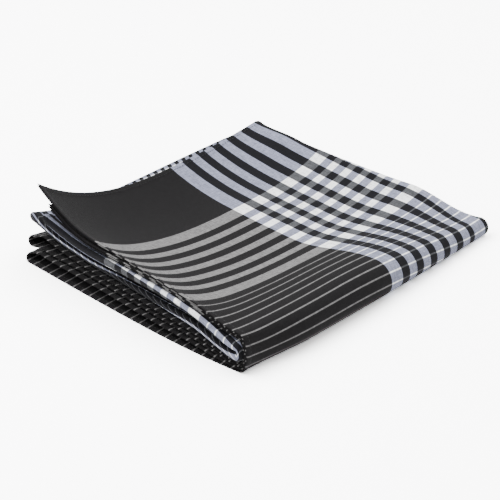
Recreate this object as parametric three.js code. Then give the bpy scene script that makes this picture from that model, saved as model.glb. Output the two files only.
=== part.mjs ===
// Folded square scarf: one sheet of cotton, folded in half four times and laid on its side.
// Millimetres, +Z up. X runs along the open front side, from the fanned left end to the last
// fold; Y goes back from the open front side to the back folds.

import * as THREE from 'three';

// Cloth and stack
const CLOTH_THICKNESS = 1.0;
const LAYER_COUNT = 16;
const LEAST_PITCH = 1.30; // rise from one layer to the next where the stack is pressed flat
const HALVES_GAP = 1.0; // added between the stack's lower and upper half

// Packet plan, measured between the fold axes
const PACKET_LENGTH = 217; // from the cut ends to the axis of the last fold
const PACKET_DEPTH = 237; // from the front hems to the axis of the back folds

// Heights of the top layer over the plan
const PRESSED_HEIGHT = 14; // where the cloth is pressed down most
const OPEN_START = -12; // Y of the open side's hems
const OPEN_RISE = 33; // how far the open side lifts off
const OPEN_DEPTH = 180; // the lift has faded out this far back
const OPEN_POWER = 3; // how steeply it fades
const CURL_RISE = 18.5; // what the left curl adds to it
const CURL_LENGTH = 155; // how far along X the curl reaches
const SAG = 30.5; // what it loses towards the last fold
const SAG_START = 137; // X where that loss starts
const END_RISE = 17; // how far the left end lifts, all the way back
const END_LENGTH = 82; // how far along X that lift reaches
const RIDGE_RISE = 15.5; // the soft ridge beside the last fold
const RIDGE_FOOT = 138; // X where it starts to rise
const RIDGE_CREST = 215; // X of its crest
const RIDGE_BACK = [93, 277]; // Y over which it runs out
const PUFF_RISE = 12; // the puff over the back folds
const PUFF_START = 172; // Y where it starts to rise
const PUFF_LEFT = 44; // X by which the puff is full
const CORNER_DROP = 12; // what the puff loses towards the last fold
const CORNER_START = 160; // X where that loss starts
const LIFT_SOFTNESS = 2; // rounds the change from lifted to pressed

// How far back the layers keep the spread that they have at the open side
const FAN_START = 8;
const FAN_DEPTH = 110;

// How far the lower half's folds stand out to the left, midway along their length
const LOWER_BELLY = 6;

// Powers by which the shifts of the hems and folds fade out going into the packet
const SHIFT_FADE = 3;
const END_FADE_BACK = 2;

// The packet isn't square: how far each corner of the plan is pushed along X and Y
const CORNER_SHIFTS = {
  left: { dx: -5.6, dy: 0.5 },
  front: { dx: -8.4, dy: -0.8 },
  right: { dx: -7.7, dy: 3.3 },
  back: { dx: -13, dy: -16.2 },
};

// The right corner is drawn out to a point: its further push, and the power of how near it is
const RIGHT_TIP = { dx: -4, dy: 19, power: 10 };

// A row for each layer, from the bottom up. end and endBack: X of its hem or fold at the left
// end, at the front and at the back. front: Y of its hem or of its fold's axis at the open
// side. nose, tip, near, far, corner: its share of the top layer's lift there, in hundredths,
// at the places of FAN_AT.
const LAYERS = [
  { end: 3, endBack: 3, front: -8, nose: 0, tip: 0, near: 0, far: 0, corner: 0 },
  { end: 3, endBack: 3, front: -6, nose: 9, tip: 17, near: 23, far: 17, corner: 8 },
  { end: 1, endBack: 3, front: -3, nose: 15, tip: 22, near: 32, far: 27, corner: 15 },
  { end: 1, endBack: 3, front: -1.5, nose: 26, tip: 38, near: 41, far: 37, corner: 22 },
  { end: -1, endBack: 3, front: 3.5, nose: 42, tip: 43, near: 47, far: 46, corner: 30 },
  { end: -1, endBack: 3, front: 3.5, nose: 45, tip: 46, near: 50, far: 50, corner: 36 },
  { end: -2, endBack: 3, front: 3.5, nose: 48, tip: 49, near: 52, far: 54, corner: 42 },
  { end: -2, endBack: 3, front: 3.5, nose: 51, tip: 52, near: 55, far: 58, corner: 48 },
  { end: 18, endBack: 13, front: -1, nose: 60, tip: 60, near: 66, far: 76, corner: 56 },
  { end: 18, endBack: 13, front: -1, nose: 64, tip: 64, near: 71, far: 81, corner: 62 },
  { end: 18, endBack: 13, front: -1, nose: 68, tip: 68, near: 76, far: 86, corner: 69 },
  { end: 18, endBack: 13, front: -1, nose: 72, tip: 72, near: 80, far: 91, corner: 76 },
  { end: 23, endBack: 13.5, front: -3.5, nose: 91, tip: 91, near: 87, far: 94, corner: 88 },
  { end: 23, endBack: 13.5, front: -3.5, nose: 94, tip: 94, near: 90, far: 96, corner: 92 },
  { end: 16, endBack: 14, front: -4, nose: 98, tip: 98, near: 98, far: 98, corner: 97 },
  { end: 16, endBack: 14, front: -4, nose: 100, tip: 100, near: 100, far: 100, corner: 100 },
];
const FAN_AT = { nose: 0, tip: 15, near: 60, far: 160, corner: PACKET_LENGTH };

// Half the stack's layers that each fold turns over, in layers, in the order of folding
const FIRST_HALF = 0.5;
const SECOND_HALF = 1;
const THIRD_HALF = 2;
const LAST_HALF = 4;
const MIDDLE_LAYER = 8.5;
const FOLD_SPAN = 3; // layers between the outermost two of a fold at the open front

// Grid: steps over a flat run and round a fold, and how much runs crowd towards their ends
const RUN_STEPS_ALONG = 9;
const RUN_STEPS_ACROSS = 9;
const TURN_STEPS = 5;
const RUN_CROWDING = 0.6;

// The cloth's way along X. share: from the left end (0) to the last fold (1). last and first:
// half turns made round the last fold and round the first fold.
const LEGS_ALONG = [
  { steps: RUN_STEPS_ALONG, share: [0, 1], last: [0, 0], first: [0, 0] },
  { steps: TURN_STEPS, share: [1, 1], last: [0, 1], first: [0, 0] },
  { steps: RUN_STEPS_ALONG, share: [1, 0], last: [1, 1], first: [0, 0] },
  { steps: TURN_STEPS, share: [0, 0], last: [1, 1], first: [0, 1] },
  { steps: RUN_STEPS_ALONG, share: [0, 1], last: [1, 1], first: [1, 1] },
  { steps: TURN_STEPS, share: [1, 1], last: [1, 0], first: [1, 1] },
  { steps: RUN_STEPS_ALONG, share: [1, 0], last: [0, 0], first: [1, 1] },
];

// The cloth's way along Y. share: from the open front (0) to the back folds (1). third and
// second: half turns made round the third fold, at the back, and the second, at the front.
const LEGS_ACROSS = [
  { steps: RUN_STEPS_ACROSS, share: [0, 1], third: [0, 0], second: [0, 0] },
  { steps: TURN_STEPS, share: [1, 1], third: [0, 1], second: [0, 0] },
  { steps: RUN_STEPS_ACROSS, share: [1, 0], third: [1, 1], second: [0, 0] },
  { steps: TURN_STEPS, share: [0, 0], third: [1, 1], second: [0, 1] },
  { steps: RUN_STEPS_ACROSS, share: [0, 1], third: [1, 1], second: [1, 1] },
  { steps: TURN_STEPS, share: [1, 1], third: [1, 0], second: [1, 1] },
  { steps: RUN_STEPS_ACROSS, share: [1, 0], third: [0, 0], second: [1, 1] },
];

const { clamp, lerp, smoothstep } = THREE.MathUtils;

// Stations along a way of legs: every column but steps is carried from its first value to its
// second. Shares crowd towards a run's two ends.
function stationsOf(legs) {
  const columns = Object.keys(legs[0]).filter((name) => name !== 'steps');
  const stations = [];
  for (const leg of legs) {
    for (let step = stations.length ? 1 : 0; step <= leg.steps; step += 1) {
      const way = step / leg.steps;
      const crowded = way - (RUN_CROWDING * Math.sin(2 * Math.PI * way)) / (2 * Math.PI);
      const station = {};
      for (const name of columns) {
        const [from, to] = leg[name];
        station[name] = lerp(from, to, name === 'share' ? crowded : way);
      }
      stations.push(station);
    }
  }
  return stations;
}

// A column of the layer table at a layer number, straight between its rows
function layerValue(column, layer) {
  const below = clamp(Math.floor(layer), 1, LAYER_COUNT - 1);
  return lerp(LAYERS[below - 1][column], LAYERS[below][column], layer - below);
}

// One at no distance, falling to 0 at a length as a power of what is left of it
function fading(distance, length, power = 2) {
  return clamp(1 - distance / length, 0, 1) ** power;
}

// Height of the top layer
function topHeight(x, y) {
  const openSide = fading(y - OPEN_START, OPEN_DEPTH, OPEN_POWER);
  const curl = CURL_RISE * fading(x, CURL_LENGTH);
  const sag = SAG * smoothstep(x, SAG_START, PACKET_LENGTH);
  const end = END_RISE * fading(x, END_LENGTH);
  const ridge = RIDGE_RISE * smoothstep(x, RIDGE_FOOT, RIDGE_CREST)
    * (1 - smoothstep(y, ...RIDGE_BACK));
  const back = fading(PACKET_DEPTH - y, PACKET_DEPTH - PUFF_START);
  const puff = PUFF_RISE * smoothstep(x, 0, PUFF_LEFT);
  const corner = CORNER_DROP * smoothstep(x, CORNER_START, PACKET_LENGTH);
  return PRESSED_HEIGHT + openSide * (OPEN_RISE + curl - sag) + end + ridge
    + back * (puff - corner);
}

// Height of a layer in the flat stack
function stackHeight(layer) {
  const halvesGap = HALVES_GAP * clamp(layer - MIDDLE_LAYER + FIRST_HALF, 0, 1);
  return CLOTH_THICKNESS / 2 + (layer - 1) * LEAST_PITCH + halvesGap;
}

// How far the top layer lies above a flat stack, rounded by a hyperbola to stay above nothing
function liftAt(x, y) {
  const above = topHeight(x, y) - stackHeight(LAYER_COUNT);
  return (above + Math.hypot(above, LIFT_SOFTNESS)) / 2;
}

// A layer's share of the lift at the open side: smooth steps from place to place
function fanShare(x, layer) {
  const [start, ...rest] = Object.keys(FAN_AT);
  let share = layerValue(start, layer);
  let before = FAN_AT[start];
  for (const name of rest) {
    share = lerp(share, layerValue(name, layer), smoothstep(x, before, FAN_AT[name]));
    before = FAN_AT[name];
  }
  return share / 100;
}

// Height of a layer anywhere: the flat stack's, plus its share of the lift, which is even from
// layer to layer but at the open side
function heightAt(x, y, layer) {
  const even = (layer - 1) / (LAYER_COUNT - 1);
  const share = lerp(even, fanShare(x, layer), fading(y - FAN_START, FAN_DEPTH));
  return stackHeight(layer) + liftAt(x, y) * share;
}

// Rise from layer to layer, averaged over the whole stack
function pitchAt(x, y) {
  return (heightAt(x, y, LAYER_COUNT) - heightAt(x, y, 1)) / (LAYER_COUNT - 1);
}

// Rise from layer to layer inside the front fold that a layer belongs to
function frontFoldPitch(x, y, layer) {
  const side = layer > MIDDLE_LAYER ? 1 : -1;
  const middle = MIDDLE_LAYER + side * THIRD_HALF;
  const rise = heightAt(x, y, middle + FOLD_SPAN / 2) - heightAt(x, y, middle - FOLD_SPAN / 2);
  return rise / FOLD_SPAN;
}

// One fold: a layer that lies a radius above the fold's axis goes round it in a half circle.
// rise is its new place above the axis, and reach how far it stands out past the axis.
function turned(rise, half, halfTurns) {
  const radius = rise + half;
  const angle = Math.PI * halfTurns;
  return { rise: radius * Math.cos(angle), reach: radius * Math.sin(angle) };
}

// Plan point pushed by the four corner shifts, each weighted by how near its corner is
function pushed(x, y) {
  const along = clamp(x / PACKET_LENGTH, 0, 1);
  const across = clamp(y / PACKET_DEPTH, 0, 1);
  const { left, front, right, back } = CORNER_SHIFTS;
  const atTip = (along * across) ** RIGHT_TIP.power;
  const shift = (axis) => RIGHT_TIP[axis] * atTip + lerp(
    lerp(left[axis], front[axis], along),
    lerp(back[axis], right[axis], along),
    across,
  );
  return [x + shift('dx'), y + shift('dy')];
}

// Middle of the cloth at one station along and one across
function clothPoint(along, across) {
  const first = turned(0, FIRST_HALF, along.first);
  const stackUp = (rise) => {
    const second = turned(rise, SECOND_HALF, across.second);
    const third = turned(second.rise, THIRD_HALF, across.third);
    const last = turned(third.rise, LAST_HALF, along.last);
    return { second, third, last, layer: MIDDLE_LAYER + last.rise };
  };
  const { second, third, last, layer } = stackUp(first.rise);
  const noseLayer = stackUp(0).layer;
  const belly = noseLayer < MIDDLE_LAYER ? LOWER_BELLY * Math.sin(Math.PI * across.share) : 0;
  const end = lerp(
    layerValue('endBack', noseLayer),
    layerValue('end', noseLayer),
    (1 - across.share) ** END_FADE_BACK,
  );
  const front = layerValue('front', layer) * (1 - across.share) ** SHIFT_FADE;
  let x = PACKET_LENGTH * along.share + (end - belly) * (1 - along.share) ** SHIFT_FADE;
  let y = PACKET_DEPTH * across.share + front;

  const gap = heightAt(x, y, noseLayer + 0.5) - heightAt(x, y, noseLayer - 0.5);
  const noseReach = (gap / 2) * (first.reach / FIRST_HALF);
  const frontReach = second.reach * frontFoldPitch(x, y, noseLayer);
  x += last.reach * pitchAt(PACKET_LENGTH, y) - noseReach;
  y += third.reach * pitchAt(x, PACKET_DEPTH) - frontReach;
  const height = heightAt(x, y, layer);
  return new THREE.Vector3(...pushed(x, y), height);
}

// Grid of middle points, its unit normals, and the two skins half a thickness to either side
function clothGrid() {
  const along = stationsOf(LEGS_ALONG);
  const across = stationsOf(LEGS_ACROSS);
  const middle = along.map((a) => across.map((b) => clothPoint(a, b)));
  const rows = along.length;
  const columns = across.length;
  const normal = (row, column) => {
    const rowStep = new THREE.Vector3().subVectors(
      middle[Math.min(row + 1, rows - 1)][column],
      middle[Math.max(row - 1, 0)][column],
    );
    const columnStep = new THREE.Vector3().subVectors(
      middle[row][Math.min(column + 1, columns - 1)],
      middle[row][Math.max(column - 1, 0)],
    );
    return rowStep.cross(columnStep).normalize();
  };
  const skin = (side) => middle.map((line, row) => line.map((point, column) => (
    point.clone().addScaledVector(normal(row, column), (side * CLOTH_THICKNESS) / 2)
  )));
  return { rows, columns, upper: skin(1), lower: skin(-1) };
}

// Closed sheet: both skins and the hem edge round them. Each quad is cut along the diagonal
// that runs towards +X +Y, so that the facets of neighbouring layers lie parallel.
function sheetGeometry() {
  const { rows, columns, upper, lower } = clothGrid();
  const points = [...upper.flat(), ...lower.flat()];
  const at = (side, row, column) => side * rows * columns + row * columns + column;
  const faces = [];
  const quad = (a, b, c, d) => {
    const diagonal = new THREE.Vector3().subVectors(points[c], points[a]);
    if (diagonal.x * diagonal.y > 0) faces.push(a, b, c, a, c, d);
    else faces.push(b, c, d, b, d, a);
  };
  for (let row = 0; row < rows - 1; row += 1) {
    for (let column = 0; column < columns - 1; column += 1) {
      const corners = [[0, 0], [1, 0], [1, 1], [0, 1]];
      const [a, b, c, d] = corners.map(([down, right]) => at(0, row + down, column + right));
      const [e, f, g, h] = corners.map(([down, right]) => at(1, row + down, column + right));
      quad(a, b, c, d);
      quad(h, g, f, e);
    }
  }
  const rim = [];
  for (let row = 0; row < rows - 1; row += 1) rim.push([row, 0]);
  for (let column = 0; column < columns - 1; column += 1) rim.push([rows - 1, column]);
  for (let row = rows - 1; row > 0; row -= 1) rim.push([row, columns - 1]);
  for (let column = columns - 1; column > 0; column -= 1) rim.push([0, column]);
  rim.forEach(([row, column], index) => {
    const [nextRow, nextColumn] = rim[(index + 1) % rim.length];
    const here = [at(0, row, column), at(1, row, column)];
    const next = [at(0, nextRow, nextColumn), at(1, nextRow, nextColumn)];
    faces.push(here[0], here[1], next[1], here[0], next[1], next[0]);
  });
  const geometry = new THREE.BufferGeometry();
  geometry.setAttribute(
    'position',
    new THREE.Float32BufferAttribute(points.flatMap((point) => point.toArray()), 3),
  );
  geometry.setIndex(faces);
  geometry.computeVertexNormals();
  return geometry;
}

// The scarf, with the middle of its underside's box at the origin
function foldedScarf() {
  const geometry = sheetGeometry();
  geometry.computeBoundingBox();
  const { min, max } = geometry.boundingBox;
  const material = new THREE.MeshStandardMaterial({
    color: 0x3a3a3c,
    roughness: 0.9,
    metalness: 0,
  });
  const mesh = new THREE.Mesh(geometry, material);
  mesh.name = 'folded_scarf';
  mesh.position.set(-(min.x + max.x) / 2, -(min.y + max.y) / 2, -min.z);
  return mesh;
}

const group = new THREE.Group();
group.add(foldedScarf());

export default group;
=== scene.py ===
"""Folded square scarf: one hemmed square of checked cotton, folded in half four times.

Lengths inside the classes are millimetres; a mesh is turned to metres when it is made.
"""

import logging
import math
from dataclasses import dataclass, field
from enum import Enum

import bpy
import numpy as np
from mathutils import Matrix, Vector


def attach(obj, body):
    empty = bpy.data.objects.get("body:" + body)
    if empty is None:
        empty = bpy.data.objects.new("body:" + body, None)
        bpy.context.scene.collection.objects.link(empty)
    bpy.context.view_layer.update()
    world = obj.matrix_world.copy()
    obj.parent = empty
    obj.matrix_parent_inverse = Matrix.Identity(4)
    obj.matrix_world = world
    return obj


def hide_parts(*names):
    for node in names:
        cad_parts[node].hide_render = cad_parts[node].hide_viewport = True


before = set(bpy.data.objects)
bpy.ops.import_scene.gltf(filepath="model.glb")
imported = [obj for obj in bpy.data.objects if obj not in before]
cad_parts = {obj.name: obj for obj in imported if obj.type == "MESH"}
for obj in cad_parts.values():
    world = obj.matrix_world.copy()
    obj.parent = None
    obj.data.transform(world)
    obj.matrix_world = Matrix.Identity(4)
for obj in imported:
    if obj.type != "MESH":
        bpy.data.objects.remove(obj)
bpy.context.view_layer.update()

MM = 0.001
PACKET_LENGTH = 217.0
PACKET_DEPTH = 237.0
LOG = logging.getLogger("scarf")


# The folded shape


def lerp(low: np.ndarray, high: np.ndarray, way: np.ndarray) -> np.ndarray:
    """Straight mix: low plus way times the step from low to high."""
    return low + (high - low) * way


def smooth(value: np.ndarray, low: float, high: float) -> np.ndarray:
    """Smooth step from 0 at low to 1 at high: three t squared minus two t cubed."""
    way = np.clip((value - low) / (high - low), 0.0, 1.0)
    return way * way * (3.0 - 2.0 * way)


@dataclass(frozen=True)
class Leg:
    """One leg of the cloth's way, a flat run or a half turn round a fold.

    share runs from the hem side (0) to the far folds (1). outer and inner are the half turns
    made round the later and the earlier of the way's two folds. Each is (from, to).
    """

    share: tuple[float, float]
    outer: tuple[float, float]
    inner: tuple[float, float]

    @property
    def is_run(self) -> bool:
        """Whether the leg is a flat run."""
        return self.share[0] != self.share[1]


TWICE_FOLDED = (
    Leg((0, 1), (0, 0), (0, 0)),
    Leg((1, 1), (0, 1), (0, 0)),
    Leg((1, 0), (1, 1), (0, 0)),
    Leg((0, 0), (1, 1), (0, 1)),
    Leg((0, 1), (1, 1), (1, 1)),
    Leg((1, 1), (1, 0), (1, 1)),
    Leg((1, 0), (0, 0), (1, 1)),
)


@dataclass(frozen=True)
class Stations:
    """Stations along one way of the cloth, one array for each column of its legs."""

    share: np.ndarray
    outer: np.ndarray
    inner: np.ndarray


@dataclass(frozen=True)
class FoldedWay:
    """The cloth's way along X or along Y, folded in half twice.

    crowding says how much a run's stations gather at its ends. hem_marks are places beside a
    hem where stations are put for its shape, and hem_clear keeps the run's own clear of them.
    """

    length: float
    run_steps: int
    turn_steps: int
    crowding: float = 0.55
    hem_marks: tuple[float, ...] = (0.0, 0.35, 1.1, 2.3, 3.3, 3.9, 4.5, 5.4)
    hem_clear: float = 1.25

    def run_shares(self, at_hem: bool) -> np.ndarray:
        """Shares of a flat run, from 0 to 1.

        A station is its even way, less the crowding times the sine of one full turn of it, so
        that stations gather at both ends. At a hem its marks are put in.

        Args:
            at_hem: whether the run starts at a hem.

        Returns:
            The shares, rising.
        """
        even = np.linspace(0.0, 1.0, self.run_steps + 1)
        shares = even - self.crowding * np.sin(2 * np.pi * even) / (2 * np.pi)
        if at_hem:
            marks = np.array(self.hem_marks) / self.length
            shares = np.concatenate([marks, shares[shares > marks[-1] * self.hem_clear]])
        return shares

    def stations(self) -> Stations:
        """Stations of all seven legs, end to end, without doubles.

        Returns:
            The stations.
        """
        columns: list[list[np.ndarray]] = [[], [], []]
        last_leg = len(TWICE_FOLDED) - 1
        for number, leg in enumerate(TWICE_FOLDED):
            at_hem = number in (0, last_leg)
            way = np.linspace(0.0, 1.0, self.turn_steps + 1)
            share = np.full(way.shape, float(leg.share[0]))
            if leg.is_run:
                share = self.run_shares(at_hem)
                way = np.linspace(0.0, 1.0, len(share))
                if leg.share[0] == 1:
                    share = share[::-1]
            first = 1 if number else 0
            outer = lerp(leg.outer[0], leg.outer[1], way)
            inner = lerp(leg.inner[0], leg.inner[1], way)
            for column, values in zip(columns, (share, outer, inner)):
                column.append(values[first:])
        return Stations(*(np.concatenate(column) for column in columns))


def fading(distance: np.ndarray, length: float, power: float = 2.0) -> np.ndarray:
    """One at no distance, falling to 0 at a length as a power of what is left of it."""
    return np.clip(1 - distance / length, 0, 1) ** power


@dataclass(frozen=True)
class TopSurface:
    """Heights of the top layer over the packet's plan.

    A start or an end is a place along X or Y, a length or a depth how far a form reaches.
    """

    pressed: float = 14.0
    open_start: float = -12.0
    open_rise: float = 27.0
    open_depth: float = 180.0
    open_power: float = 3.0
    curl_rise: float = 24.0
    curl_length: float = 165.0
    sag: float = 24.0
    sag_start: float = 133.0
    end_rise: float = 18.5
    end_length: float = 70.0
    ridge_rise: float = 15.5
    ridge_foot: float = 138.0
    ridge_crest: float = 215.0
    ridge_back: tuple[float, float] = (92.0, 290.0)
    puff_rise: float = 12.5
    puff_start: float = 172.0
    puff_left: float = 55.0
    corner_drop: float = 15.0
    corner_start: float = 160.0
    lip_rise: float = 7.5
    lip_depth: float = 48.0
    lip_from: tuple[float, float] = (44.0, 107.0)
    lip_to: tuple[float, float] = (174.0, 211.0)
    length: float = PACKET_LENGTH
    depth: float = PACKET_DEPTH

    def height(self, x: np.ndarray, y: np.ndarray) -> np.ndarray:
        """Height at plan places.

        The pressed level, plus the open side's lift that fades going back, higher at the left
        curl, lower past the sag and turned up in a short lip, plus the left end's lift, the
        soft ridge beside the last fold, and the puff over the back folds, which drops at their
        right end.

        Args:
            x: places along X.
            y: places along Y.

        Returns:
            The heights.
        """
        open_side = fading(y - self.open_start, self.open_depth, self.open_power)
        curl = self.curl_rise * fading(x, self.curl_length)
        sag = self.sag * smooth(x, self.sag_start, self.length)
        end = self.end_rise * fading(x, self.end_length)
        ridge = self.ridge_rise * smooth(x, self.ridge_foot, self.ridge_crest)
        ridge = ridge * (1 - smooth(y, *self.ridge_back))
        back = fading(self.depth - y, self.depth - self.puff_start)
        puff = self.puff_rise * smooth(x, 0, self.puff_left)
        corner = self.corner_drop * smooth(x, self.corner_start, self.length)
        lip = smooth(x, *self.lip_from) * (1 - smooth(x, *self.lip_to))
        lip = self.lip_rise * lip * fading(y - self.open_start, self.lip_depth)
        lifted = open_side * (self.open_rise + curl - sag) + lip
        return self.pressed + lifted + end + ridge + back * (puff - corner)


@dataclass(frozen=True)
class Layer:
    """One layer: places of its hem or fold, and its share of the open side's lift.

    end and end_back are its X at the left end, at the front and at the back; front is its Y at
    the open side. nose, tip, near, far and corner are hundredths of the top layer's lift there,
    at the places that FAN_AT gives.
    """

    end: float
    end_back: float
    front: float
    nose: float
    tip: float
    near: float
    far: float
    corner: float


LAYERS = (
    Layer(3, 3, -8, 0, 0, 0, 0, 0),
    Layer(3, 3, -6, 9, 17, 23, 17, 8),
    Layer(1, 3, -3, 15, 22, 32, 27, 15),
    Layer(1, 3, -1.5, 26, 38, 41, 37, 22),
    Layer(-1, 3, 3.5, 42, 43, 47, 46, 30),
    Layer(-1, 3, 3.5, 45, 46, 50, 50, 36),
    Layer(-2, 3, 3.5, 48, 49, 52, 54, 42),
    Layer(-2, 3, 3.5, 51, 52, 55, 58, 48),
    Layer(18, 13, -1, 60, 60, 66, 76, 56),
    Layer(18, 13, -1, 64, 64, 71, 81, 62),
    Layer(18, 13, -1, 68, 68, 76, 86, 69),
    Layer(18, 13, -1, 72, 72, 80, 91, 76),
    Layer(23, 13.5, -3.5, 91, 91, 87, 94, 88),
    Layer(23, 13.5, -3.5, 94, 94, 90, 96, 92),
    Layer(10.5, 15, -2.5, 98, 98, 98, 98, 97),
    Layer(10.5, 15, -2.5, 100, 100, 100, 100, 100),
)

# Places along X where the layers' shares of the lift are given
FAN_AT = {"nose": 0.0, "tip": 15.0, "near": 60.0, "far": 160.0, "corner": PACKET_LENGTH}


def layer_value(column: str, layer: np.ndarray) -> np.ndarray:
    """A column of the layers' table at a layer number, straight between its rows."""
    values = [getattr(row, column) for row in LAYERS]
    return np.interp(layer, np.arange(1, len(values) + 1), values)


@dataclass(frozen=True)
class CornerShift:
    """How far one corner of the packet's plan is pushed."""

    dx: float
    dy: float


@dataclass(frozen=True)
class Packet:
    """The packet's folded form, as heights of its layers over a plan that is not square.

    cloth is the sheet's thickness and least_pitch the least rise from layer to layer. The fan
    at the open side fades over fan_depth. The four corner shifts push the plan, and the two
    tips sharpen its back corners. halves are half the layers that each fold doubles.
    """

    length: float = PACKET_LENGTH
    depth: float = PACKET_DEPTH
    plan_start: tuple[float, float] = (-104.448, -127.783)
    cloth: float = 0.42
    least_pitch: float = 0.46
    lift_softness: float = 2.0
    fan_start: float = 8.0
    fan_depth: float = 110.0
    lower_belly: float = 6.0
    shift_fade: float = 3.0
    end_fade_back: float = 2.0
    top: TopSurface = field(default_factory=TopSurface)
    left: CornerShift = CornerShift(-5.6, 0.5)
    front: CornerShift = CornerShift(-8.2, -3.6)
    right: CornerShift = CornerShift(-6.0, 3.0)
    back: CornerShift = CornerShift(-13, -15.0)
    right_tip: CornerShift = CornerShift(-1, 14)
    back_tip: CornerShift = CornerShift(0, 7)
    tip_power: float = 7.0
    front_reach_share: float = 0.5
    front_reach_end: float = 60.0
    front_fade_power: int = 4
    front_fold_half: float = 1.5
    halves: tuple[float, float, float, float] = (0.5, 1.0, 2.0, 4.0)
    middle_layer: float = 8.5
    layer_count: int = 16

    def lift(self, x: np.ndarray, y: np.ndarray) -> np.ndarray:
        """How far the top layer lies above a flat stack.

        Its height less the stack's, kept from going below nothing by a hyperbola.

        Args:
            x: places along X.
            y: places along Y.

        Returns:
            The lifts.
        """
        stack = self.cloth / 2 + (self.layer_count - 1) * self.least_pitch
        above = self.top.height(x, y) - stack
        return (above + np.sqrt(above**2 + self.lift_softness**2)) / 2

    def fan_share(self, x: np.ndarray, layer: np.ndarray) -> np.ndarray:
        """A layer's share of the lift at the open side: smooth steps between its places.

        Args:
            x: places along X.
            layer: layer numbers.

        Returns:
            The shares, 1 for the top layer.
        """
        (start, before), *rest = FAN_AT.items()
        share = layer_value(start, layer)
        for column, place in rest:
            share = lerp(share, layer_value(column, layer), smooth(x, before, place))
            before = place
        return share / 100

    def height(self, x: np.ndarray, y: np.ndarray, layer: np.ndarray) -> np.ndarray:
        """Height of a layer anywhere.

        The flat stack's height, plus the layer's share of the lift. The share is even from
        layer to layer inside the packet and the fan's at the open side, mixed by a parabola
        that fades going back.

        Args:
            x: places along X.
            y: places along Y.
            layer: layer numbers.

        Returns:
            The heights.
        """
        even = (layer - 1) / (self.layer_count - 1)
        open_side = fading(y - self.fan_start, self.fan_depth)
        share = lerp(even, self.fan_share(x, layer), np.clip(open_side, 0, 1))
        return self.cloth / 2 + (layer - 1) * self.least_pitch + self.lift(x, y) * share

    def pitch(self, x: np.ndarray, y: np.ndarray) -> np.ndarray:
        """Rise from layer to layer, averaged over the whole stack."""
        top, bottom = np.full(x.shape, float(self.layer_count)), np.ones(x.shape)
        return (self.height(x, y, top) - self.height(x, y, bottom)) / (self.layer_count - 1)

    def front_fold_pitch(self, x: np.ndarray, y: np.ndarray, layer: np.ndarray) -> np.ndarray:
        """Rise from layer to layer inside the front fold that a layer belongs to.

        Args:
            x: places along X.
            y: places along Y.
            layer: layer numbers.

        Returns:
            The fold's top layer's height less its bottom layer's, over the steps between them.
        """
        half = self.front_fold_half
        middle = self.middle_layer + np.sign(layer - self.middle_layer) * self.halves[2]
        top, bottom = self.height(x, y, middle + half), self.height(x, y, middle - half)
        return (top - bottom) / (2 * half)

    @staticmethod
    def turned(
        rise: np.ndarray, half: float, half_turns: np.ndarray
    ) -> tuple[np.ndarray, np.ndarray]:
        """A layer's new rise and reach, gone round a fold's axis in a circle.

        Args:
            rise: its rise above the middle of what the fold doubles.
            half: half the fold's layers.
            half_turns: how many half circles it has gone.

        Returns:
            The new rise above the axis, and how far it stands out past the axis.
        """
        angle = np.pi * half_turns
        return (rise + half) * np.cos(angle), (rise + half) * np.sin(angle)

    def pushed(self, x: np.ndarray, y: np.ndarray) -> tuple[np.ndarray, np.ndarray]:
        """Plan places pushed by the corner shifts, each by how near its corner is.

        Both back corners are pushed once more, by a high power of how near they are, to points.

        Args:
            x: places along X.
            y: places along Y.

        Returns:
            The pushed places along X and along Y.
        """
        along, across = np.clip(x / self.length, 0, 1), np.clip(y / self.depth, 0, 1)

        def shift(axis: str) -> np.ndarray:
            """The mixed shift along one axis.

            Args:
                axis: the shifts' field to read, dx or dy.

            Returns:
                The shifts.
            """
            open_side = lerp(getattr(self.left, axis), getattr(self.front, axis), along)
            fold_side = lerp(getattr(self.back, axis), getattr(self.right, axis), along)
            right_tip = getattr(self.right_tip, axis) * (along * across) ** self.tip_power
            back_tip = getattr(self.back_tip, axis) * ((1 - along) * across) ** self.tip_power
            return lerp(open_side, fold_side, across) + right_tip + back_tip

        return x + shift("dx"), y + shift("dy")

    def middle_surface(self, along: Stations, across: Stations) -> np.ndarray:
        """Middle of the cloth at every pair of stations.

        Each fold in turn takes the layer round its axis; the four rises add up to a layer
        number. Runs give the plan place, folds reach out past it, and the height is read at
        that place. The last fold's reach is cut at the open side, and grows to the whole going
        back.

        Args:
            along: stations along X.
            across: stations along Y.

        Returns:
            Points as rows, columns and x, y, z.
        """
        first_half, second_half, third_half, last_half = self.halves
        share_x, last_turn, first_turn = (
            column[:, None] for column in (along.share, along.outer, along.inner)
        )
        share_y, third_turn, second_turn = (
            column[None, :] for column in (across.share, across.outer, across.inner)
        )

        def stack_up(rise: np.ndarray) -> tuple[np.ndarray, ...]:
            """Layer number and reaches after the second, third and last folds.

            Args:
                rise: the rise after the first fold.

            Returns:
                The layer number, and the second, third and last folds' reaches.
            """
            rise, second = self.turned(rise, second_half, second_turn)
            rise, third = self.turned(rise, third_half, third_turn)
            rise, last = self.turned(rise, last_half, last_turn)
            return self.middle_layer + rise, second, third, last

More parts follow.
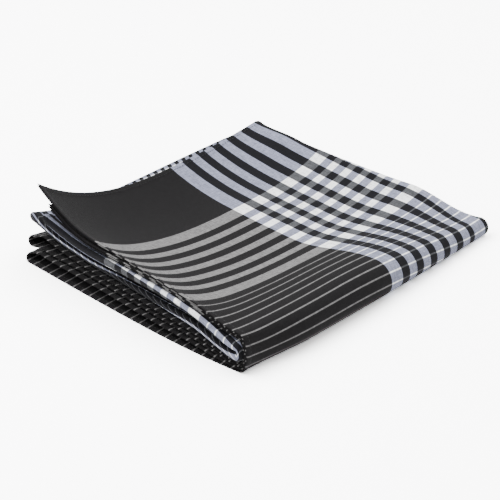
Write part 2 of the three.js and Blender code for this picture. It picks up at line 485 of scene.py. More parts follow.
        rise, first = self.turned(np.zeros_like(share_x), first_half, first_turn)
        layer, second, third, last = stack_up(rise)
        nose_layer = stack_up(np.zeros_like(share_x))[0]
        belly = np.where(
            nose_layer < self.middle_layer, self.lower_belly * np.sin(np.pi * share_y), 0.0
        )
        end = lerp(
            layer_value("end_back", nose_layer),
            layer_value("end", nose_layer),
            (1 - share_y) ** self.end_fade_back,
        )
        x = self.length * share_x + (end - belly) * (1 - share_x) ** self.shift_fade
        front = layer_value("front", layer) * (1 - share_y) ** self.shift_fade
        front = front * (1 - share_x**self.front_fade_power)
        y = self.depth * share_y + front
        x, y = np.broadcast_arrays(x, y)
        gap = self.height(x, y, nose_layer + 0.5) - self.height(x, y, nose_layer - 0.5)
        nose_reach = gap / 2 * (first / first_half)
        front_reach = second * self.front_fold_pitch(x, y, nose_layer)
        last_reach = last * self.pitch(np.full(x.shape, self.length), y)
        last_reach = last_reach * lerp(
            self.front_reach_share, 1.0, smooth(y, 0, self.front_reach_end)
        )
        x = x + last_reach - nose_reach
        back_reach = third * self.pitch(x, np.full(y.shape, self.depth))
        y = y + back_reach - front_reach
        z = self.height(x, y, layer)
        x, y = self.pushed(x, y)
        return np.stack([x + self.plan_start[0], y + self.plan_start[1], z], axis=-1)


# The cloth as a sheet


def unit(vectors: np.ndarray) -> np.ndarray:
    """Vectors divided by their lengths."""
    return vectors / np.maximum(np.linalg.norm(vectors, axis=-1, keepdims=True), 1e-9)


def arc_lengths(points: np.ndarray, axis: int) -> np.ndarray:
    """Lengths along every thread of a grid: the running sum of the steps between its points.

    Args:
        points: the grid.
        axis: the axis that the threads run along.

    Returns:
        The lengths, from 0.
    """
    steps = np.linalg.norm(np.diff(points, axis=axis), axis=-1)
    start = np.zeros_like(np.take(steps, [0], axis=axis))
    return np.concatenate([start, np.cumsum(steps, axis=axis)], axis=axis)


def thread_places(points: np.ndarray, axis: int, side: float) -> np.ndarray:
    """Places along every thread of a grid, on the flat cloth.

    They are true lengths over the first quarter of the side, which is the top layer. Past it
    the rest is stretched evenly, so that every thread ends at the far edge.

    Args:
        points: the grid.
        axis: the axis that the threads run along.
        side: the flat cloth's side.

    Returns:
        The places.
    """
    lengths = arc_lengths(points, axis)
    whole = np.take(lengths, [-1], axis=axis)
    quarter = side / 4
    past = quarter + (lengths - quarter) * (side - quarter) / (whole - quarter)
    return np.where(lengths < quarter, lengths, past)


@dataclass
class ScarfCloth:
    """The square of cloth with its turned hem.

    hem_step is half the width of the step at the hem's inner edge. edge_round and edge_least
    round the rim. stitch_draw and stitch_reach say how deep and how far the stitches draw the
    hem in.
    """

    packet: Packet = field(default_factory=Packet)
    side_along: float = 897.0
    side_across: float = 984.0
    hem_width: float = 4.4
    hem_extra: float = 0.5
    hem_step: float = 0.6
    edge_round: float = 1.1
    edge_least: float = 0.06
    stitch_line: float = 3.9
    stitch_draw: float = 0.6
    stitch_reach: float = 0.5
    along: FoldedWay = FoldedWay(PACKET_LENGTH, 34, 12)
    across: FoldedWay = FoldedWay(PACKET_DEPTH, 38, 12)

    def __post_init__(self) -> None:
        """Works out the grid of the cloth's middle, its normals and its thread lengths."""
        self.middle = self.packet.middle_surface(self.along.stations(), self.across.stations())
        down, over = np.gradient(self.middle, axis=0), np.gradient(self.middle, axis=1)
        self.normals = unit(np.cross(down, over))
        self.flat_along = thread_places(self.middle, 0, self.side_along)
        self.flat_across = thread_places(self.middle, 1, self.side_across)

    def edge_distance(self) -> np.ndarray:
        """Distance from the nearest edge of the cloth, along its threads.

        Returns:
            The distance at each point of the grid.
        """
        along = np.minimum(self.flat_along, self.side_along - self.flat_along)
        across = np.minimum(self.flat_across, self.side_across - self.flat_across)
        return np.minimum(along, across)

    def thickness(self) -> np.ndarray:
        """Thickness of the sheet over the grid.

        The cloth's own, plus the hem's turned layers, which end in a smooth step, thin to a
        rounded edge by a square root, and are drawn in along the line of stitches by a bell.

        Returns:
            The thickness at each point of the grid.
        """
        distance = self.edge_distance()
        step = (self.hem_width - self.hem_step, self.hem_width + self.hem_step)
        turned = 1 - smooth(distance, *step)
        edge = np.sqrt(np.clip(distance / self.edge_round, self.edge_least, 1))
        bell = np.exp(-(((distance - self.stitch_line) / self.stitch_reach) ** 2))
        drawn = self.stitch_draw * bell
        return (self.packet.cloth + self.hem_extra * turned * (1 - drawn)) * edge

    def skin(self, side: float) -> np.ndarray:
        """The grid moved half a thickness to one side along its normals."""
        return self.middle + self.normals * (side * self.thickness() / 2)[..., None]

    def build(self, name: str) -> bpy.types.Object:
        """The closed sheet: both skins, and a strip round the edge that joins them.

        Args:
            name: the piece's name.

        Returns:
            The piece, with a UV map of shares of the cloth's two sides.
        """
        rows, columns = self.middle.shape[:2]
        count = rows * columns
        points = np.concatenate([self.skin(1).reshape(-1, 3), self.skin(-1).reshape(-1, 3)])
        grid = np.arange(count).reshape(rows, columns)
        upper = np.stack([grid[:-1, :-1], grid[1:, :-1], grid[1:, 1:], grid[:-1, 1:]], -1)
        upper = upper.reshape(-1, 4)
        lower = upper[:, ::-1] + count
        rim = np.concatenate(
            [grid[:, 0], grid[-1, 1:], grid[-2::-1, -1], grid[0, -2:0:-1]]
        )
        after = np.roll(rim, -1)
        strip = np.stack([rim, rim + count, after + count, after], -1)
        faces = np.concatenate([upper, lower, strip])
        shares = np.stack(
            [self.flat_along / self.side_along, self.flat_across / self.side_across], -1
        ).reshape(-1, 2)
        return made_piece(name, points, faces, np.concatenate([shares, shares]))


def made_piece(
    name: str, points: np.ndarray, faces: np.ndarray, shares: np.ndarray | None = None
) -> bpy.types.Object:
    """Makes a smooth mesh piece at the origin.

    Args:
        name: the piece's name.
        points: its points, in millimetres.
        faces: point numbers of its four-sided faces.
        shares: for each point, its place on the cloth as two shares, for the UV map.

    Returns:
        The piece, linked to the scene.
    """
    mesh = bpy.data.meshes.new(name)
    mesh.vertices.add(len(points))
    mesh.vertices.foreach_set("co", (points * MM).astype(np.float32).ravel())
    mesh.loops.add(faces.size)
    mesh.loops.foreach_set("vertex_index", faces.astype(np.int32).ravel())
    mesh.polygons.add(len(faces))
    starts = np.arange(0, faces.size, faces.shape[1], dtype=np.int32)
    mesh.polygons.foreach_set("loop_start", starts)
    mesh.polygons.foreach_set("use_smooth", np.ones(len(faces), dtype=bool))
    if shares is not None:
        layer = mesh.uv_layers.new(name="Threads")
        layer.data.foreach_set("uv", shares[faces.ravel()].astype(np.float32).ravel())
    mesh.update(calc_edges=True)
    mesh.validate()
    piece = bpy.data.objects.new(name, mesh)
    bpy.context.scene.collection.objects.link(piece)
    return piece


@dataclass
class HemStitches:
    """The dark running stitches that hold the turned hem on all four edges.

    sink is how deep a stitch sits, in thread widths. blunt is the share of its way that is cut
    from each end of its sine. end_radius is the share of its radius that it has without its
    bulge.
    """

    cloth: ScarfCloth
    pitch: float = 2.8
    length: float = 1.9
    thread: float = 0.5
    sections: int = 5
    sink: float = 0.28
    blunt: float = 0.08
    end_radius: float = 0.45

    def path(self, grid: np.ndarray) -> list[np.ndarray]:
        """The four lines of a grid that lie on the line of stitches.

        Args:
            grid: points, normals or values over the cloth.

        Returns:
            The lines, one beside each edge.
        """
        marks = np.array(self.cloth.along.hem_marks)
        near = int(np.argmin(np.abs(marks - self.cloth.stitch_line)))
        return [grid[near], grid[-1 - near], grid[:, near], grid[:, -1 - near]]

    def beads(
        self, line: np.ndarray, normals: np.ndarray, thickness: np.ndarray, side: float
    ) -> np.ndarray:
        """Rings of four points along every stitch of one line, on one face of the hem.

        The line is walked at an even pitch. A bead's radius and its height over the cloth
        follow a sine along it, so that it is widest in the middle and sinks in at its ends.

        Args:
            line: points of the line.
            normals: the cloth's normals at them.
            thickness: the cloth's thickness at them.
            side: 1 for the upper face, -1 for the lower.

        Returns:
            Points as stitches, sections, four places round and x, y, z.
        """
        lengths = arc_lengths(line, 0)
        margin = self.cloth.stitch_line
        starts = np.arange(margin, lengths[-1] - margin, self.pitch)
        way = np.linspace(0, 1, self.sections)
        at = starts[:, None] + way[None, :] * self.length
        centre = np.stack([np.interp(at, lengths, line[:, k]) for k in range(3)], -1)
        normal = np.stack([np.interp(at, lengths, normals[:, k]) for k in range(3)], -1)
        normal = unit(normal)
        sideways = np.cross(unit(np.gradient(centre, axis=1)), normal)
        bulge = np.sin(np.pi * np.clip(way, self.blunt, 1 - self.blunt))[None, :]
        lift = np.interp(at, lengths, thickness) / 2 + self.thread * (0.5 * bulge - self.sink)
        middle = centre + normal * (side * lift)[..., None]
        radius = self.thread / 2 * (self.end_radius + (1 - self.end_radius) * bulge)
        radius = radius[..., None]
        ring = np.stack(
            [
                middle + sideways * radius,
                middle + normal * radius * side,
                middle - sideways * radius,
                middle - normal * radius * side,
            ],
            axis=2,
        )
        return ring if side > 0 else ring[:, :, ::-1]

    def build(self, name: str) -> bpy.types.Object:
        """One small four-sided bead for each stitch, on both faces of the hem.

        Args:
            name: the piece's name.

        Returns:
            The piece.
        """
        points, faces = [], []
        count = 0
        grids = (self.cloth.middle, self.cloth.normals, self.cloth.thickness())
        for line, normals, thickness in zip(*(self.path(grid) for grid in grids)):
            for side in (1.0, -1.0):
                ring = self.beads(line, normals, thickness, side)
                number = np.arange(ring[..., 0].size).reshape(ring.shape[:3]) + count
                here, there = number[:, :-1], number[:, 1:]
                walls = np.stack(
                    [here, there, np.roll(there, -1, 2), np.roll(here, -1, 2)], -1
                )
                caps = np.concatenate([number[:, :1], number[:, -1:, ::-1]], 1)
                points.append(ring.reshape(-1, 3))
                faces += [walls.reshape(-1, 4), caps.reshape(-1, 4)]
                count += ring[..., 0].size
        return made_piece(name, np.concatenate(points), np.concatenate(faces))


# Finishes


Socket = bpy.types.NodeSocket


class Nodes:
    """A node tree with short calls for the nodes that the finishes use."""

    def __init__(self, tree: bpy.types.NodeTree) -> None:
        """Keeps the tree."""
        self.tree = tree

    def add(self, kind: str, **settings: object) -> bpy.types.Node:
        """Adds a node and sets its properties.

        Args:
            kind: the node's type.
            settings: its properties and their values.

        Returns:
            The node.
        """
        node = self.tree.nodes.new(kind)
        for key, value in settings.items():
            setattr(node, key, value)
        return node

    def link(self, source: object, target: Socket) -> None:
        """Links a socket, or sets a plain value.

        Args:
            source: a socket, or the value.
            target: the input that it goes to.
        """
        if isinstance(source, Socket):
            self.tree.links.new(source, target)
        else:
            target.default_value = source

    def math(self, operation: str, *values: object, clamp: bool = False) -> Socket:
        """A maths node.

        Args:
            operation: what it does.
            values: one to three sockets or numbers.
            clamp: whether its result is kept from 0 to 1.

        Returns:
            Its output.
        """
        node = self.add("ShaderNodeMath", operation=operation, use_clamp=clamp)
        for socket, value in zip(node.inputs, values):
            self.link(value, socket)
        return node.outputs[0]

    def colour_mix(self, way: object, low: object, high: object, blend: str = "MIX") -> Socket:
        """A colour mix node.

        Args:
            way: how far it goes to the second colour.
            low: the first colour.
            high: the second colour.
            blend: how the two are mixed.

        Returns:
            Its output.
        """
        node = self.add("ShaderNodeMix", data_type="RGBA", blend_type=blend)
        self.link(way, node.inputs["Factor"])
        self.link(low, node.inputs[6])
        self.link(high, node.inputs[7])
        return node.outputs[2]

    def ramp(self, value: object, low: float, high: float) -> Socket:
        """A smooth step of a value, from 0 at low to 1 at high.

        Args:
            value: the value.
            low: where the step starts.
            high: where it ends.

        Returns:
            Its output.
        """
        node = self.add("ShaderNodeMapRange", interpolation_type="SMOOTHSTEP")
        for socket, item in zip(node.inputs, (value, low, high)):
            self.link(item, socket)
        return node.outputs[0]

    def group(self, tree: bpy.types.NodeTree, **inputs: object) -> bpy.types.Node:
        """Places a group and feeds its inputs.

        Args:
            tree: the group.
            inputs: what goes in, by the inputs' names with underscores for spaces.

        Returns:
            The group's node.
        """
        node = self.add("ShaderNodeGroup", node_tree=tree)
        for key, value in inputs.items():
            self.link(value, node.inputs[key.replace("_", " ")])
        return node

    def bar(self, distance: Socket, width: object, softness: object) -> Socket:
        """A bar: 1 inside it, 0 outside, and a straight soft edge between.

        Args:
            distance: distance from the bar's middle.
            width: the bar's width.
            softness: the width of its soft edge.

        Returns:
            The mask.
        """
        inside = self.math("SUBTRACT", self.math("MULTIPLY", width, 0.5), distance)
        return self.math("ADD", self.math("DIVIDE", inside, softness), 0.5, clamp=True)

    def repeated(self, place: Socket, start: Socket, period: Socket) -> tuple[Socket, Socket]:
        """Where a place lies among evenly spaced lines.

        The place past the start is divided by the period; less its rounding, and times the
        period, it is the distance to the nearest line.

        Args:
            place: the place.
            start: the first line's place.
            period: the step from line to line.

        Returns:
            How many periods it is past the start, and the distance to the nearest line.
        """
        turns = self.math("DIVIDE", self.math("SUBTRACT", place, start), period)
        nearest = self.math("SUBTRACT", turns, self.math("ROUND", turns))
        return turns, self.math("MULTIPLY", self.math("ABSOLUTE", nearest), period)


def new_group(
    name: str, inputs: dict[str, float], outputs: tuple[str, ...]
) -> tuple[bpy.types.NodeTree, Nodes, bpy.types.Node, bpy.types.Node]:
    """Starts a shader node group of plain values.

    Args:
        name: the group's name.
        inputs: input names and their default values.
        outputs: output names.

    Returns:
        The group, its nodes, its input node and its output node.
    """
    tree = bpy.data.node_groups.new(name, "ShaderNodeTree")
    for key, value in inputs.items():
        socket = tree.interface.new_socket(key, in_out="INPUT", socket_type="NodeSocketFloat")
        socket.default_value = value
    for key in outputs:
        tree.interface.new_socket(key, in_out="OUTPUT", socket_type="NodeSocketFloat")
    nodes = Nodes(tree)
    return tree, nodes, nodes.add("NodeGroupInput"), nodes.add("NodeGroupOutput")


class StripeBand:
    """A band of evenly spaced narrow stripes between two wide ones."""

    def __init__(self) -> None:
        """Builds the group.

        A bar is 1 where half its width is more than the distance to the nearest narrow stripe.
        The narrow bars count within half a period of the first and the last of them, and the
        two wide bars are put over them.
        """
        self.tree, n, source, result = new_group(
            "Stripe band",
            {
                "Place": 0,
                "First": 0,
                "Last": 100,
                "Start": 14,
                "Count": 5,
                "Period": 14,
                "Width": 6,
                "End width": 11,
                "Softness": 0.3,
            },
            ("Mask",),
        )
        get = source.outputs
        turns, away = n.repeated(get["Place"], get["Start"], get["Period"])
        after = n.math("GREATER_THAN", turns, -0.5)
        before = n.math("LESS_THAN", turns, n.math("SUBTRACT", get["Count"], 0.5))
        narrow = n.bar(away, get["Width"], get["Softness"])
        narrow = n.math("MULTIPLY", narrow, n.math("MULTIPLY", after, before))
        wide = [
            n.bar(
                n.math("ABSOLUTE", n.math("SUBTRACT", get["Place"], get[end])),
                get["End width"],
                get["Softness"],
            )
            for end in ("First", "Last")
        ]
        n.link(n.math("MAXIMUM", narrow, n.math("MAXIMUM", *wide)), result.inputs["Mask"])


class FineLines:
    """Even lines from one place on, as far as another."""

    def __init__(self) -> None:
        """Builds the group.

        Bars about each whole multiple of the period past the start, from just before the first
        line's edge to the end.
        """
        self.tree, n, source, result = new_group(
            "Fine lines",
            {"Place": 0, "Start": 0, "End": 1000, "Period": 8, "Width": 1, "Softness": 0.25},
            ("Mask",),
        )
        get = source.outputs
        _, away = n.repeated(get["Place"], get["Start"], get["Period"])
        bar = n.bar(away, get["Width"], get["Softness"])
        edge = n.math("SUBTRACT", get["Start"], n.math("MULTIPLY", get["Width"], 0.6))
        after = n.math("GREATER_THAN", get["Place"], edge)
        before = n.math("LESS_THAN", get["Place"], get["End"])
        counted = n.math("MULTIPLY", after, before)
        n.link(n.math("MULTIPLY", bar, counted), result.inputs["Mask"])


class PlainWeave:
    """Threads passing over and under one another, with slubs along them."""

    crossing: float = 0.25
    slub_along: float = 0.22
    slub_across: float = 1.1

    def __init__(self) -> None:
        """Builds the group.

        Over is 1 where the along thread is on top: the product of two sines, one for each
        way, taken past zero. Height is the rounded back of the thread on top. Slub is the mean
        of two noises, each drawn out along the threads of one way: few along a thread, and
        close together across the threads.
        """
        self.tree, n, source, result = new_group(
            "Plain weave",
            {"Along": 0, "Across": 0, "Thread": 0.5},
            ("Over", "Height", "Slub"),
        )
        get = source.outputs
        turn = n.math("DIVIDE", math.pi, get["Thread"])
        wave_along = n.math("SINE", n.math("MULTIPLY", get["Along"], turn))
        wave_across = n.math("SINE", n.math("MULTIPLY", get["Across"], turn))
        product = n.math("MULTIPLY", wave_along, wave_across)
        n.link(n.ramp(product, -self.crossing, self.crossing), result.inputs["Over"])
        n.link(n.math("ABSOLUTE", product), result.inputs["Height"])

        def drawn(along_scale: float, across_scale: float, slice_at: float) -> Socket:
            """Noise drawn out along one way of threads.

            Args:
                along_scale: how close the noise is along the cloth.
                across_scale: how close it is across.
                slice_at: where the flat slice lies in the solid noise.

            Returns:
                The noise.
            """
            place = n.add("ShaderNodeCombineXYZ")
            n.link(n.math("MULTIPLY", get["Along"], along_scale), place.inputs[0])
            n.link(n.math("MULTIPLY", get["Across"], across_scale), place.inputs[1])
            n.link(slice_at, place.inputs[2])
            noise = n.add("ShaderNodeTexNoise", noise_dimensions="3D")
            n.link(place.outputs[0], noise.inputs["Vector"])
            noise.inputs["Scale"].default_value = 1.0
            noise.inputs["Detail"].default_value = 2.0
            return noise.outputs[0]

        both = n.math(
            "ADD",
            drawn(self.slub_along, self.slub_across, 3.7),
            drawn(self.slub_across, self.slub_along, 9.1),
        )
        n.link(n.math("MULTIPLY", both, 0.5), result.inputs["Slub"])


Colour = tuple[float, float, float, float]


def srgb(red: float, green: float, blue: float) -> Colour:
    """Linear colour of a screen colour given in 0 to 255.

    Args:
        red: its red.
        green: its green.
        blue: its blue.

    Returns:
        The colour, with full cover.
    """

    def linear(value: float) -> float:
        """Linear value of one screen channel."""
        value = value / 255
        return value / 12.92 if value <= 0.04045 else ((value + 0.055) / 1.055) ** 2.4

    return (linear(red), linear(green), linear(blue), 1.0)


@dataclass(frozen=True)
class BandMeasures:
    """A stripe band's places and widths, in millimetres from the cloth's edge."""

    first: float
    last: float
    start: float
    period: float
    width: float
    end_width: float

    def mask(self, n: Nodes, band: StripeBand, place: Socket) -> Socket:
        """Places the band in a material.

        Args:
            n: the material's nodes.
            band: the stripe band's node group.
            place: the distance from the cloth's edge.

        Returns:
            1 on its stripes.
        """
        node = n.group(
            band.tree,
            Place=place,
            First=self.first,
            Last=self.last,
            Start=self.start,
            Period=self.period,
            Width=self.width,
            End_width=self.end_width,
        )
        return node.outputs[0]


@dataclass(frozen=True)
class LineMeasures:
    """Fine lines' places and width, in millimetres from the cloth's edge."""

    start: float
    period: float
    width: float
    end: float = 1000.0

    def mask(self, n: Nodes, lines: FineLines, place: Socket) -> Socket:
        """Places the lines in a material.

        Args:
            n: the material's nodes.
            lines: the fine lines' node group.
            place: the distance from the cloth's edge.

        Returns:
            1 on the lines.
        """
        node = n.group(
            lines.tree,
            Place=place,
            Start=self.start,
            End=self.end,
            Period=self.period,
            Width=self.width,
        )
        return node.outputs[0]


@dataclass(frozen=True)
class CheckedCotton:
    """Charcoal cotton with two bands of woven light stripes that cross in checks.

    weave_swing is how much the crossing threads of unlike colours show, slub_swing how much
    the slubs vary the colour, and slub_relief how high they stand beside the weave.
    """

    cloth: ScarfCloth
    name: str = "checked cotton"
    plain: Colour = srgb(19, 18, 19)
    black: Colour = srgb(15, 15, 19)
    grey_stripe: Colour = srgb(112, 111, 111)
    blue_stripe: Colour = srgb(128, 131, 149)
    both_light: Colour = srgb(253, 254, 255)
    grey_on_black: Colour = srgb(74, 75, 78)
    thread: float = 0.42
    grey_band: BandMeasures = BandMeasures(
        first=71.3, last=157.3, start=86.9, period=13.4, width=6.2, end_width=10.9
    )
    blue_band: BandMeasures = BandMeasures(
        first=149.5, last=248.8, start=168.2, period=16.1, width=8.2, end_width=12.3
    )
    thin_lines: LineMeasures = LineMeasures(start=171.2, period=8.3, width=1.15)
    thin_line_light: float = 0.85
    fine_stripes: LineMeasures = LineMeasures(start=263.0, period=7.7, width=3.8, end=481.0)
    middle_line: LineMeasures = LineMeasures(start=487.5, period=30.0, width=1.2)
    black_start: float = 144.0
    weave_swing: float = 0.8
    slub_swing: float = 2.0
    slub_relief: float = 0.8
    roughness: float = 0.78
    slub_roughness: float = 0.2
    bump_strength: float = 0.5
    bump_depth: float = 0.12
    sheen: float = 0.04
    sheen_roughness: float = 0.5
    specular: float = 0.12

    def dress(self, weave: PlainWeave, band: StripeBand, lines: FineLines) -> bpy.types.Material:
        """Builds the material.

        Each place on the cloth is its distance from the nearer edge, both ways, so the pattern
        mirrors about the middle. Two masks say where light threads run; the colour is looked up
        from both, then the weave and its slubs vary it.

        Args:
            weave: the weave's node group.
            band: the stripe band's node group.
            lines: the fine lines' node group.

        Returns:
            The material.
        """
        material = bpy.data.materials.new(self.name)
        material.use_nodes = True
        n = Nodes(material.node_tree)
        shader = material.node_tree.nodes["Principled BSDF"]
        uv = n.add("ShaderNodeUVMap", uv_map="Threads")
        parts = n.add("ShaderNodeSeparateXYZ")
        n.link(uv.outputs[0], parts.inputs[0])
        along = n.math("MULTIPLY", parts.outputs[0], self.cloth.side_along)
        across = n.math("MULTIPLY", parts.outputs[1], self.cloth.side_across)
        light_end, light_side, from_side = self.light_threads(n, band, lines, along, across)
        colour = self.stripe_colour(n, light_end, light_side, from_side)

        woven = n.group(weave.tree, Along=along, Across=across, Thread=self.thread)
        over, rise, slub = (woven.outputs[key] for key in ("Over", "Height", "Slub"))
        unlike = n.math("ABSOLUTE", n.math("SUBTRACT", light_end, light_side))
        swing = n.math("MULTIPLY", n.math("SUBTRACT", over, 0.5), unlike)
        threads = n.math("MULTIPLY_ADD", swing, self.weave_swing, 1.0)
        slubs = n.math("MULTIPLY_ADD", n.math("SUBTRACT", slub, 0.5), self.slub_swing, 1.0)
        gain = n.math("MULTIPLY", threads, slubs)
        grey_gain = n.add("ShaderNodeCombineColor")
        for socket in grey_gain.inputs:
            n.link(gain, socket)
        n.link(
            n.colour_mix(1.0, colour, grey_gain.outputs[0], "MULTIPLY"),
            shader.inputs["Base Color"],
        )
        n.link(
            n.math("MULTIPLY_ADD", slub, self.slub_roughness, self.roughness),
            shader.inputs["Roughness"],
        )
        bump = n.add("ShaderNodeBump")
        n.link(
            n.math("ADD", rise, n.math("MULTIPLY", slub, self.slub_relief)),
            bump.inputs["Height"],
        )
        bump.inputs["Strength"].default_value = self.bump_strength
        bump.inputs["Distance"].default_value = self.bump_depth * MM
        n.link(bump.outputs[0], shader.inputs["Normal"])
        shader.inputs["Sheen Weight"].default_value = self.sheen
        shader.inputs["Sheen Roughness"].default_value = self.sheen_roughness
        shader.inputs["Specular IOR Level"].default_value = self.specular
        return material

    def light_threads(
        self, n: Nodes, band: StripeBand, lines: FineLines, along: Socket, across: Socket
    ) -> tuple[Socket, Socket, Socket]:
        """Where light threads run, each way.

        Args:
            n: the material's nodes.
            band: the stripe band's node group.
            lines: the fine lines' node group.
            along: the place along the cloth.
            across: the place across it.

        Returns:
            The masks of the light threads counted from the ends and from the sides, and the
            distance from the nearer side.
        """
        from_end = n.math("MINIMUM", along, n.math("SUBTRACT", self.cloth.side_along, along))
        from_side = n.math("MINIMUM", across, n.math("SUBTRACT", self.cloth.side_across, across))
        thin = n.math("MULTIPLY", self.thin_lines.mask(n, lines, from_end), self.thin_line_light)
        light_end = n.math("MAXIMUM", self.grey_band.mask(n, band, from_end), thin)
        blue = self.blue_band.mask(n, band, from_side)
        blue = n.math("MAXIMUM", blue, self.fine_stripes.mask(n, lines, from_side))
        light_side = n.math("MAXIMUM", blue, self.middle_line.mask(n, lines, from_side))
        return light_end, light_side, from_side

    def stripe_colour(
        self, n: Nodes, light_end: Socket, light_side: Socket, from_side: Socket
    ) -> Socket:
        """Colour where the light threads of both ways do or don't run.

        Args:
            n: the material's nodes.
            light_end: the mask of the light threads counted from the ends.
            light_side: the mask of those counted from the sides.
            from_side: the distance from the nearer side.

        Returns:
            The colour.
        """
        black_from = n.math("GREATER_THAN", from_side, self.black_start)
        none_side = n.colour_mix(light_end, self.plain, self.grey_stripe)
        black_side = n.colour_mix(light_end, self.black, self.grey_on_black)
        blue_side = n.colour_mix(light_end, self.blue_stripe, self.both_light)
        ground = n.colour_mix(black_from, none_side, black_side)
        return n.colour_mix(light_side, ground, blue_side)


@dataclass(frozen=True)
class SewingThread:
    """Dark twisted sewing thread."""

    name: str = "sewing thread"
    dark: Colour = srgb(12, 12, 14)
    light: Colour = srgb(34, 34, 38)
    twist_scale: float = 900.0
    roughness: float = 0.5
    twist_roughness: float = 0.25

    def dress(self) -> bpy.types.Material:
        """Builds the material: fine noise varies its colour and roughness along the seam.

        Returns:
            The material.
        """
        material = bpy.data.materials.new(self.name)
        material.use_nodes = True
        n = Nodes(material.node_tree)
        shader = material.node_tree.nodes["Principled BSDF"]
        place = n.add("ShaderNodeTexCoord")
        noise = n.add("ShaderNodeTexNoise")
        n.link(place.outputs["Object"], noise.inputs["Vector"])
        noise.inputs["Scale"].default_value = self.twist_scale
        n.link(
            n.colour_mix(noise.outputs[0], self.dark, self.light), shader.inputs["Base Color"]
        )
        n.link(
            n.math("MULTIPLY_ADD", noise.outputs[0], self.twist_roughness, self.roughness),
            shader.inputs["Roughness"],
        )
        return material


@dataclass(frozen=True)
class PaleFloor:
    """Plain pale floor, which the camera sees brightly lit as a studio's white sweep."""

    name: str = "pale floor"
    colour: Colour = (0.9, 0.9, 0.9, 1.0)
    seen: Colour = (3.7, 3.7, 3.7, 1.0)

    def dress(self) -> bpy.types.Material:
        """Builds the material: matt, and brighter where the camera sees it directly.

        Returns:
            The material.
        """
        material = bpy.data.materials.new(self.name)
        material.use_nodes = True
        n = Nodes(material.node_tree)
        material.node_tree.nodes.remove(material.node_tree.nodes["Principled BSDF"])
        path = n.add("ShaderNodeLightPath")
        matt = n.add("ShaderNodeBsdfDiffuse")
        n.link(
            n.colour_mix(path.outputs["Is Camera Ray"], self.colour, self.seen),
            matt.inputs["Color"],
        )
        output = material.node_tree.nodes["Material Output"]
        n.link(matt.outputs[0], output.inputs["Surface"])
        return material


# The studio


def direction(azimuth: float, elevation: float) -> Vector:
    """Unit vector from the object to a place round it.

    Args:
        azimuth: degrees from the front, turning to the right.
        elevation: degrees above the floor.

    Returns:
        The vector.
    """
    turn, tilt = math.radians(azimuth), math.radians(elevation)
    return Vector(
        (math.sin(turn) * math.cos(tilt), -math.cos(turn) * math.cos(tilt), math.sin(tilt))
    )


@dataclass(frozen=True)
class LampPlace:
    """A lamp's place in degrees, its distance and size in metres and its power in watts."""

    azimuth: float
    elevation: float
    distance: float
    size: float
    power: float


class Lamp(Enum):
    """The soft lamps."""

    KEY = LampPlace(-40.0, 62.0, 1.6, 1.2, 36.0)
    FILL = LampPlace(-10.0, 22.0, 1.9, 1.4, 4.0)
    TOP = LampPlace(170.0, 66.0, 1.7, 1.3, 24.0)


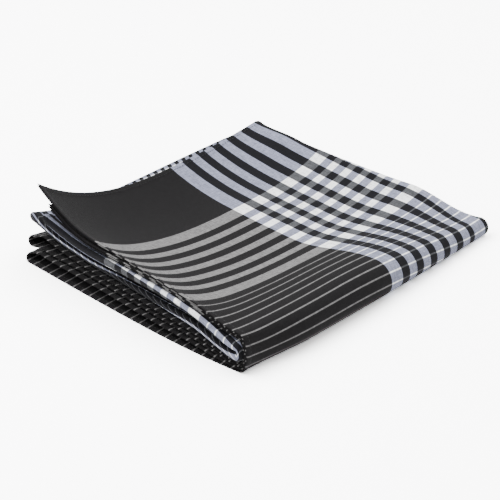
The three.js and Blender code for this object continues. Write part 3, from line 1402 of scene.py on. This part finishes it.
@dataclass
class Studio:
    """Camera, floor and lamps.

    distance and floor_side are metres, lens and sensor millimetres. aim is how far the camera
    looks to the right of the origin and up, in millimetres.
    """

    azimuth: float = 44.0
    elevation: float = 31.5
    distance: float = 2.0
    lens: float = 193.7
    sensor: float = 36.0
    aim: tuple[float, float] = (-8.27, -2.64)
    floor_side: float = 12.0
    world: float = 0.9

    def axes(self) -> tuple[Vector, Vector, Vector]:
        """The camera's axes.

        Returns:
            Unit vectors towards the camera, to its right and up its picture.
        """
        back = direction(self.azimuth, self.elevation)
        turn = math.radians(self.azimuth)
        right = Vector((math.cos(turn), math.sin(turn), 0))
        return back, right, back.cross(right)

    def set_camera(self) -> None:
        """Puts the camera where the photograph was taken from."""
        back, right, up = self.axes()
        data = bpy.data.cameras.new("camera")
        data.lens = self.lens
        data.sensor_width = self.sensor
        camera = bpy.data.objects.new("camera", data)
        bpy.context.scene.collection.objects.link(camera)
        target = right * (self.aim[0] * MM) + up * (self.aim[1] * MM)
        camera.location = target + back * self.distance
        camera.rotation_mode = "QUATERNION"
        camera.rotation_quaternion = (-back).to_track_quat("-Z", "Y")
        bpy.context.scene.camera = camera

    def lay_floor(self) -> None:
        """Lays the floor under the object."""
        half = self.floor_side / 2
        mesh = bpy.data.meshes.new("floor")
        corners = [(-half, -half, 0), (half, -half, 0), (half, half, 0), (-half, half, 0)]
        mesh.from_pydata(corners, [], [(0, 1, 2, 3)])
        mesh.materials.append(PaleFloor().dress())
        floor = bpy.data.objects.new("floor", mesh)
        bpy.context.scene.collection.objects.link(floor)

    def hang_lamps(self) -> None:
        """Hangs the soft square lamps, each turned to the object, and lights the surroundings."""
        for lamp in Lamp:
            place = lamp.value
            way = direction(place.azimuth, place.elevation)
            data = bpy.data.lights.new(lamp.name.lower(), "AREA")
            data.size, data.energy = place.size, place.power
            item = bpy.data.objects.new(lamp.name.lower(), data)
            bpy.context.scene.collection.objects.link(item)
            item.location = way * place.distance
            item.rotation_mode = "QUATERNION"
            item.rotation_quaternion = (-way).to_track_quat("-Z", "Y")
        world = bpy.data.worlds.new("surroundings")
        bpy.context.scene.world = world
        world.use_nodes = True
        backdrop = world.node_tree.nodes["Background"]
        backdrop.inputs["Color"].default_value = (1, 1, 1, 1)
        backdrop.inputs["Strength"].default_value = self.world

    def build(self) -> None:
        """Camera, floor and lamps together."""
        self.set_camera()
        self.lay_floor()
        self.hang_lamps()


def report(piece: bpy.types.Object) -> None:
    """Logs a piece's name and its numbers of points and faces."""
    counts = len(piece.data.vertices), len(piece.data.polygons)
    LOG.info("%s: %d points, %d faces", piece.name, *counts)


def main() -> None:
    logging.basicConfig(level=logging.INFO, format="%(message)s")
    cloth = ScarfCloth()
    weave, band, lines = PlainWeave(), StripeBand(), FineLines()

    scarf = cloth.build("scarf_cloth")
    scarf.data.materials.append(CheckedCotton(cloth).dress(weave, band, lines))
    stitches = HemStitches(cloth).build("hem_stitches")
    stitches.data.materials.append(SewingThread().dress())
    for piece in (scarf, stitches):
        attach(piece, "root")
        report(piece)
    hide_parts("folded_scarf")
    Studio().build()


if __name__ == "__main__":
    main()
